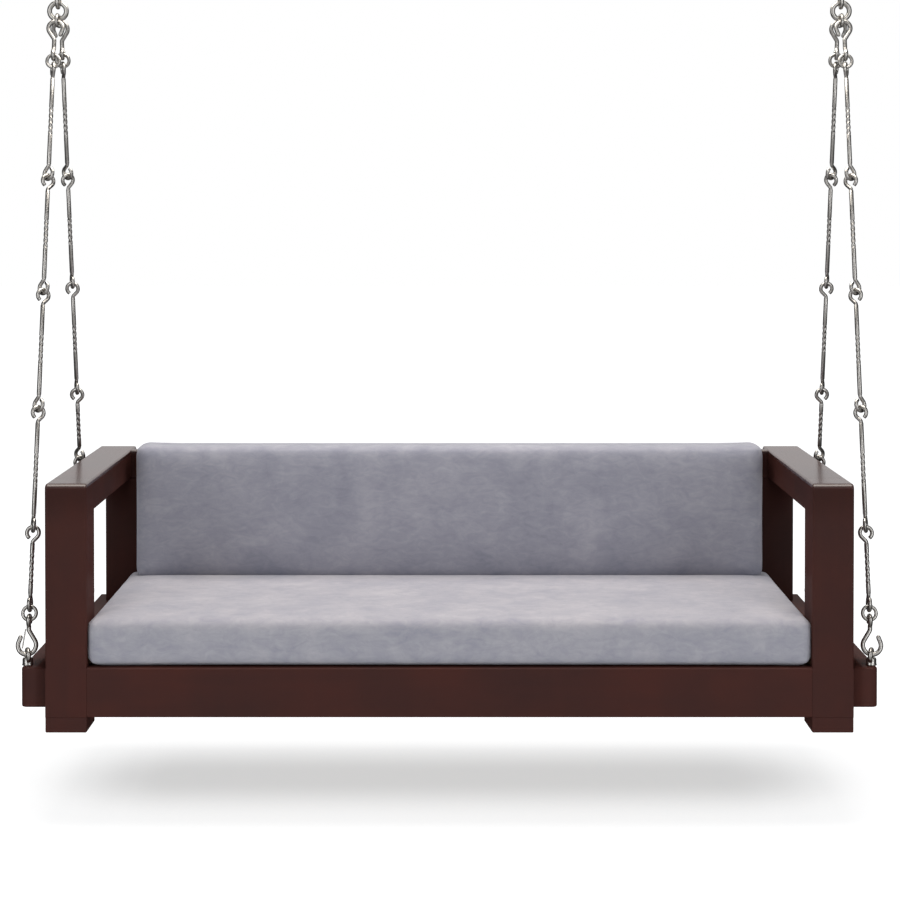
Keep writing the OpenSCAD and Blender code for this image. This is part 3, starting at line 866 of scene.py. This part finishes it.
class Chain:
    """Where one of the four chains hangs, with distances down it from the hanging line."""

    def __init__(self, side, end):
        self.side, self.end = side, end
        way = WAY[end]
        top_y = HANG_Y + way * HOOK_SIDE
        run, drop = abs(way * BOLT_Y - top_y), HANG_Z - BOLT_EYE_Z
        self.length = math.hypot(run, drop)
        tilt = Matrix.Rotation(way * math.atan2(run, drop), 4, "X")
        self.place = Matrix.Translation((HANG_X - way * CHAIN_OFFSET, top_y, HANG_Z)) @ tilt
        self.joints = [FIRST_JOINT[end]]
        for kind in ORDER[end]:
            self.joints.append(self.joints[-1] + ROD_LENGTHS[kind] + EYE_STEP)
        self.upper_ring = self.joints[0] + EYE_STEP / 2 - ROD_TO_RING
        self.lower_ring = self.joints[-1] - EYE_STEP / 2 + ROD_TO_RING
        self.hook_bottom = self.length - HOOK_DROP

    def down(self, distance):
        return self.place @ Matrix.Translation((0, 0, -distance))

    def add(self, name, bm, node):
        """Finishes a piece of this chain, which stands for this chain's node of that name."""
        which = f"{self.end}_{self.side}"
        add_steel(f"{name}_{which}", bm, self.side, f"{self.side}_chains", f"{node}_{which}")


class Wire:
    """Round wire that is drawn out of a ring: ahead along its own X axis, bending about Z."""

    def __init__(self, bm, frame, radius, ring=None):
        self.bm, self.frame, self.radius = bm, frame, radius
        across = frame @ Matrix.Rotation(math.pi / 2, 4, "Y")
        self.ring = ring or bmesh.ops.create_circle(
            bm, segments=WIRE_SIDES, radius=radius, matrix=across
        )["verts"]

    def pull(self, step):
        made = bmesh.ops.extrude_edge_only(self.bm, edges=ring_edges(self.ring))["geom"]
        self.ring = new_verts(made)
        ahead = self.frame.to_3x3() @ Vector((step, 0, 0))
        bmesh.ops.translate(self.bm, verts=self.ring, vec=ahead)
        self.frame = self.frame @ Matrix.Translation((step, 0, 0))

    def ahead(self, length):
        if length > TINY:
            self.pull(length)
        return self

    def roll(self, degrees):
        self.frame = self.frame @ Matrix.Rotation(math.radians(degrees), 4, "X")

    def bend(self, radius, degrees, steps=None):
        turn = math.radians(degrees)
        to_centre = Matrix.Translation((0, math.copysign(radius, degrees), 0))
        made = bmesh.ops.spin(
            self.bm,
            geom=self.ring + ring_edges(self.ring),
            cent=(self.frame @ to_centre).translation,
            axis=self.frame.to_3x3() @ Vector((0, 0, 1)),
            angle=turn,
            steps=steps or max(2, round(abs(degrees) / DEGREES_A_STEP)),
        )
        self.ring = new_verts(made["geom_last"])
        rotation = Matrix.Rotation(turn, 4, "Z")
        self.frame = self.frame @ to_centre @ rotation @ to_centre.inverted()
        return self

    def resize(self, share):
        bmesh.ops.scale(
            self.bm,
            verts=self.ring,
            vec=(share, share, share),
            space=Matrix.Translation(-self.frame.translation),
        )

    def round_off(self):
        """A rounded end."""
        for low, high in ((0, 35), (35, 65), (65, 84)):
            low, high = math.radians(low), math.radians(high)
            self.pull(self.radius * (math.sin(high) - math.sin(low)))
            self.resize(math.cos(high) / math.cos(low))
        self.close()

    def cut_off(self):
        """A flat end with its edge taken off."""
        edge = self.radius * CUT_EDGE
        self.pull(edge)
        self.resize(1 - edge / self.radius)
        self.close()

    def close(self):
        bmesh.ops.contextual_create(self.bm, geom=ring_edges(self.ring))

    def lead_and_eye(self, lead, eye, neck, arc):
        """A straight lead that ends in a pear-shaped eye."""
        set_back = neck * math.tan(EYE_LEAN / 2)
        self.ahead(lead - set_back).bend(neck, math.degrees(EYE_LEAN), steps=6)
        self.ahead(eye / math.tan(EYE_LEAN) - set_back)
        self.bend(eye, -arc).ahead(EYE_TIP).cut_off()


UP = Matrix.Rotation(-math.pi / 2, 4, "Y") @ Matrix.Rotation(math.pi / 2, 4, "X")
DOWN = Matrix.Rotation(math.pi / 2, 4, "Y") @ Matrix.Rotation(math.pi / 2, 4, "X")


def open_hook(bm, place, length, radius, off):
    """An open hook that stands on its bend, with its eye a length above."""
    rise = math.radians(180 - HOOK_LEAN)
    lean, tip = math.radians(HOOK_LEAN), math.radians(HOOK_TIP_A)
    bend_x = HOOK_SHANK_BEND * (1 - math.cos(lean))
    slope = (-off - radius * math.cos(rise) - bend_x) / math.sin(lean)
    tip_x = off + radius * math.cos(tip) - HOOK_TIP * math.sin(tip)
    tip_z = radius * (1 + math.sin(tip)) + HOOK_TIP * math.cos(tip)
    shank_z = radius * (1 + math.sin(rise)) + slope * math.cos(lean)
    shank_z += HOOK_SHANK_BEND * math.sin(lean)
    start = (
        place
        @ Matrix.Translation((tip_x, 0, tip_z))
        @ Matrix.Rotation(math.pi / 2, 4, "X")
        @ Matrix.Rotation(tip - math.pi / 2, 4, "Z")
    )
    wire = Wire(bm, start, HOOK_WIRE)
    tip_ring = wire.ring
    wire.ahead(HOOK_TIP).bend(radius, -(180 + HOOK_LEAN + HOOK_TIP_A))
    wire.ahead(slope).bend(HOOK_SHANK_BEND, HOOK_LEAN, steps=8)
    wire.roll(90)
    lead = length - HOOK_EYE / math.sin(EYE_LEAN) - shank_z
    wire.lead_and_eye(lead, HOOK_EYE, HOOK_NECK, HOOK_EYE_ARC)
    Wire(bm, start @ Matrix.Rotation(math.pi, 4, "Z"), HOOK_WIRE, tip_ring).round_off()


chains = [Chain(side, end) for end in ENDS for side in SIDES]
for chain in chains:
    bm = bmesh.new()
    length = chain.hook_bottom - chain.lower_ring - RING_TO_HOOK
    open_hook(bm, chain.down(chain.hook_bottom), length, HOOK_BEND, HOOK_OFF)
    chain.add("open_hook", bm, "lower_hook")

give(steel, "hook_keeper")


# ---- Chains: small rings ----
# Welded rings of a thinner wire, two in each chain: one joins the upper hook to the first rod,
# and one joins the last rod to the lower hook.
for chain in chains:
    bm = bmesh.new()
    torus(bm, chain.down(chain.upper_ring), RING_R, RING_WIRE)
    torus(bm, chain.down(chain.lower_ring), RING_R, RING_WIRE)
    chain.add("small_rings", bm, "chain_rings")


# ---- Chains: rods ----
# Each chain is five rods, thicker than the wire of the eye at each end. The middle of a rod is
# twisted like rope for a hand's width. The eyes of a rod are turned against each other.
ROD_R = 0.0051
EYE_BEND = 0.008
EYE_ARC = 270
SHOULDER = 0.0012
TWIST_PITCH = 0.0134
TWIST_COUNT = 5
TWIST_STEPS = 24
GROOVE_DEPTH = 0.2
TURNS = {
    "front": ((70, 36), (-36, 36), (-36, 36), (-36, 72), (0, 90)),
    "rear": ((70, 36), (-36, 72), (0, 72), (0, 36), (-36, 90)),
}


def twist(wire, length, steps):
    """Turns the wire's grooved section as it is drawn out."""
    turn = math.pi * length / TWIST_PITCH / steps
    for _ in range(steps):
        wire.pull(length / steps)
        axis = wire.frame.to_3x3() @ Vector((1, 0, 0))
        bmesh.ops.rotate(
            wire.bm,
            verts=wire.ring,
            cent=wire.frame.translation,
            matrix=Matrix.Rotation(turn, 3, axis),
        )
        wire.roll(math.degrees(turn))


def groove(wire, outward=False):
    """Presses two grooves into the wire's ring, or lets them out again."""
    to_frame = wire.frame.inverted()
    for vert in wire.ring:
        here = to_frame @ vert.co
        share = 1 - GROOVE_DEPTH * (abs(here.z) / math.hypot(here.y, here.z)) ** 3
        share = 1 / share if outward else share
        vert.co = wire.frame @ Vector((here.x, here.y * share, here.z * share))


def rod(bm, place, length, turns):
    """A rod whose upper eye's centre is at place."""
    middle = place @ Matrix.Translation((0, 0, -length / 2))
    half = TWIST_COUNT * TWIST_PITCH / 2
    neck = EYE_BEND * math.tan(EYE_LEAN / 2)
    lead = length / 2 - ROD_EYE / math.sin(EYE_LEAN) - half
    first = None
    for heading, turn in ((UP, turns[0]), (DOWN, turns[1])):
        wire = Wire(bm, middle @ heading, ROD_R, first)
        if first is None:
            first = list(wire.ring)
            groove(wire)
        twist(wire, half, TWIST_STEPS)
        groove(wire, outward=True)
        wire.frame = (
            middle
            @ Matrix.Rotation(math.radians(turn), 4, "Z")
            @ heading
            @ Matrix.Translation((half, 0, 0))
        )
        wire.ahead(lead - neck - SHOULDER).ahead(SHOULDER)
        wire.resize(ROD_WIRE / ROD_R)
        wire.radius = ROD_WIRE
        wire.lead_and_eye(neck, ROD_EYE, EYE_BEND, EYE_ARC)


for chain in chains:
    for kind in ("long", "short"):
        bm = bmesh.new()
        for i, one in enumerate(ORDER[chain.end]):
            if one == kind:
                top = chain.down(chain.joints[i] + EYE_STEP / 2)
                rod(bm, top, ROD_LENGTHS[kind], TURNS[chain.end][i])
        chain.add(f"{kind}_wire_rods", bm, "long_rods" if kind == "long" else "short_rod")


# ---- Chains: top hooks ----
# The same open hooks the other way up: two of them hang side by side in each swing link. The
# rear ones are mirrored, so the two hooks of a link open to opposite sides.
TOP_BEND = 0.0165
TOP_OFF = 0.002
LINK_WIRE = 0.004
LINK_GAP = 0.0006
TOP_REACH = TOP_BEND - LINK_WIRE - HOOK_WIRE - LINK_GAP
HOOK_RISE = TOP_BEND - math.sqrt(TOP_REACH**2 - (CHAIN_OFFSET - TOP_OFF) ** 2)

for chain in chains:
    bm = bmesh.new()
    flip = Matrix.Scale(-1, 4, (1, 0, 0)) if chain.end == "rear" else Matrix.Identity(4)
    upside_down = Matrix.Rotation(math.pi, 4, "Y")
    length = chain.upper_ring - RING_TO_HOOK + HOOK_RISE
    open_hook(bm, upside_down, length, TOP_BEND, TOP_OFF)
    bmesh.ops.transform(bm, verts=bm.verts, matrix=chain.down(-HOOK_RISE) @ flip)
    chain.add("upper_hook", bm, "top_hook")


# ---- Swing links ----
# A small closed link on each side, flat at the bottom where both hooks hang, with wide bends at
# the top where it turns in the ring.
LINK_HALF = 0.0205
LINK_CORNER = 0.008
LINK_TOP_CORNER = 0.013
LINK_H = 0.025

for side in SIDES:
    bm = bmesh.new()
    place = Matrix.Translation((HANG_X, HANG_Y, HANG_Z))
    across = Matrix.Rotation(math.pi / 2, 4, "Z") @ Matrix.Rotation(math.pi / 2, 4, "X")
    wire = Wire(bm, place @ across, LINK_WIRE)
    flat, rise = LINK_HALF - LINK_CORNER, LINK_H - LINK_CORNER - LINK_TOP_CORNER
    wire.ahead(flat).bend(LINK_CORNER, 90).ahead(rise).bend(LINK_TOP_CORNER, 90)
    wire.ahead(2 * (LINK_HALF - LINK_TOP_CORNER)).bend(LINK_TOP_CORNER, 90)
    wire.ahead(rise).bend(LINK_CORNER, 90).ahead(flat)
    bmesh.ops.remove_doubles(bm, verts=bm.verts, dist=1e-5)
    add_steel(f"small_link_{side}", bm, side, "swing_links", f"swing_link_{side}")


# ---- Top rings and ceiling hangers ----
# A large welded ring hangs in the eye under each ceiling plate. The plates are screwed to a
# joist and are just above the picture.
TOP_RING_R = 0.0194
TOP_RING_WIRE = 0.0058

for side in SIDES:
    low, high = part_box(f"top_ring_{side}")
    bm = bmesh.new()
    torus(bm, Matrix.Translation((low + high) / 2), TOP_RING_R, TOP_RING_WIRE)
    node = f"top_ring_{side}"
    add_piece(f"large_ring_{side}", bm, steel, "ceiling_hangers", "bright_steel", node)

give(steel, "ceiling_hanger_left", "ceiling_hanger_right")


# ---- Cushions ----
# Foam blocks in covers of soft brushed velvet, one to sit on and one behind the back. The covers
# are tight: they crown a little and pull in slightly between the corners.
VOXEL = 0.010
CUSHION_EDGE = 0.020
PRESSURE = 4
STUFFING_FRAMES = 20
SWELL_LIMIT = 0.005


def brushed_velvet(name, colours, low, high, painted_lighting_tint):
    """The same velvet for both cushions, in colours given for each, multiplied by a colour of
    painted light and shade below the height low and plain above high.
    """
    velvet = Finish(
        name,
        {
            "Specular IOR Level": 0.15,
            "Sheen Weight": 0.35,
            "Sheen Roughness": 0.45,
            "Sheen Tint": (0.93, 0.93, 1.0, 1),
        },
    )
    where = velvet.coordinates()
    cloud = velvet.noise(where, 11, 5, 0.65, 0.5)
    strokes = velvet.noise(velvet.coordinates((1.0, 1.6, 2.2), (3, 1, 2)), 24, 5, 0.65, 1.2)
    pile = velvet.noise(where, 900, 2, 0.5)
    body = velvet.ramp(cloud * 0.55 + strokes * 0.45, list(zip((0.33, 0.50, 0.67), colours)))
    height = velvet.node("ShaderNodeSeparateXYZ", inputs={0: where}, output=2)
    share = velvet.rise(height, low, high, 1.0, 0.0)
    # Painted light and shade: below the height low the colour is multiplied by the tint.
    velvet.wire("Base Color", velvet.mix(body, (*painted_lighting_tint, 1), share, "MULTIPLY"))
    velvet.wire("Roughness", velvet.rise(cloud, 0.3, 0.7, 0.82, 0.95))
    velvet.bump(pile * 0.6 + strokes * 0.8, 0.0006, 0.6)
    return velvet.material


SEAT_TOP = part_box("seat_cushion")[1].z
# Painted light: the seat's colours are lighter than the back's, and its front face is painted a
# little bluer than its top.
seat_velvet = brushed_velvet(
    "seat velvet",
    [(0.285, 0.283, 0.335), (0.360, 0.350, 0.389), (0.440, 0.421, 0.451)],
    SEAT_TOP - 0.030,
    SEAT_TOP - 0.006,
    (1.0, 1.02, 1.03),
)
# Painted shade: the back's colours are darker than the seat's, and darker still towards the seat.
back_velvet = brushed_velvet(
    "back velvet",
    [(0.238, 0.241, 0.292), (0.300, 0.300, 0.349), (0.368, 0.362, 0.408)],
    SEAT_TOP,
    SEAT_TOP + 0.16,
    (0.87, 0.87, 0.88),
)


def stuff(obj):
    """Blows the cover up a little, as foam fills it, with a limit on how far it moves."""
    scene = bpy.context.scene
    rest = [v.co.copy() for v in obj.data.vertices]
    modifier = obj.modifiers.new("stuffing", "CLOTH")
    modifier.settings.use_pressure = True
    modifier.settings.uniform_pressure_force = PRESSURE
    modifier.settings.effector_weights.gravity = 0
    for number in range(1, STUFFING_FRAMES + 1):
        scene.frame_set(number)
    evaluated = obj.evaluated_get(bpy.context.evaluated_depsgraph_get())
    blown = [v.co.copy() for v in evaluated.data.vertices]
    obj.modifiers.remove(modifier)
    scene.frame_set(1)
    for vert, start, end in zip(obj.data.vertices, rest, blown):
        move = end - start
        if move.length > 1e-9:
            reach = SWELL_LIMIT * math.tanh(move.length / SWELL_LIMIT)
            vert.co = start + move * (reach / move.length)


def cushion(name, node, spare, velvet):
    """spare is how much larger the cover is cut than its place, as it draws in when filled."""
    low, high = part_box(node)
    low, high = low - Vector(spare), high + Vector(spare)
    bm = bmesh.new()
    board_shape(bm, low, high)
    ease(bm, bm.edges[:], CUSHION_EDGE)
    obj = linked(name, bm)
    remade(obj, "REMESH", mode="VOXEL", voxel_size=VOXEL, adaptivity=0.0)
    stuff(obj)
    obj.data.shade_smooth()
    smooth = obj.modifiers.new("smooth cover", "SUBSURF")
    smooth.levels = smooth.render_levels = 1
    obj.data.materials.clear()
    obj.data.materials.append(velvet)
    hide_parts(node)
    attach(obj, "bed")


cushion("seat_pad", "seat_cushion", (0.009, 0.003, -0.001), seat_velvet)
cushion("back_pad", "back_cushion", (0.008, -0.003, 0.009), back_velvet)
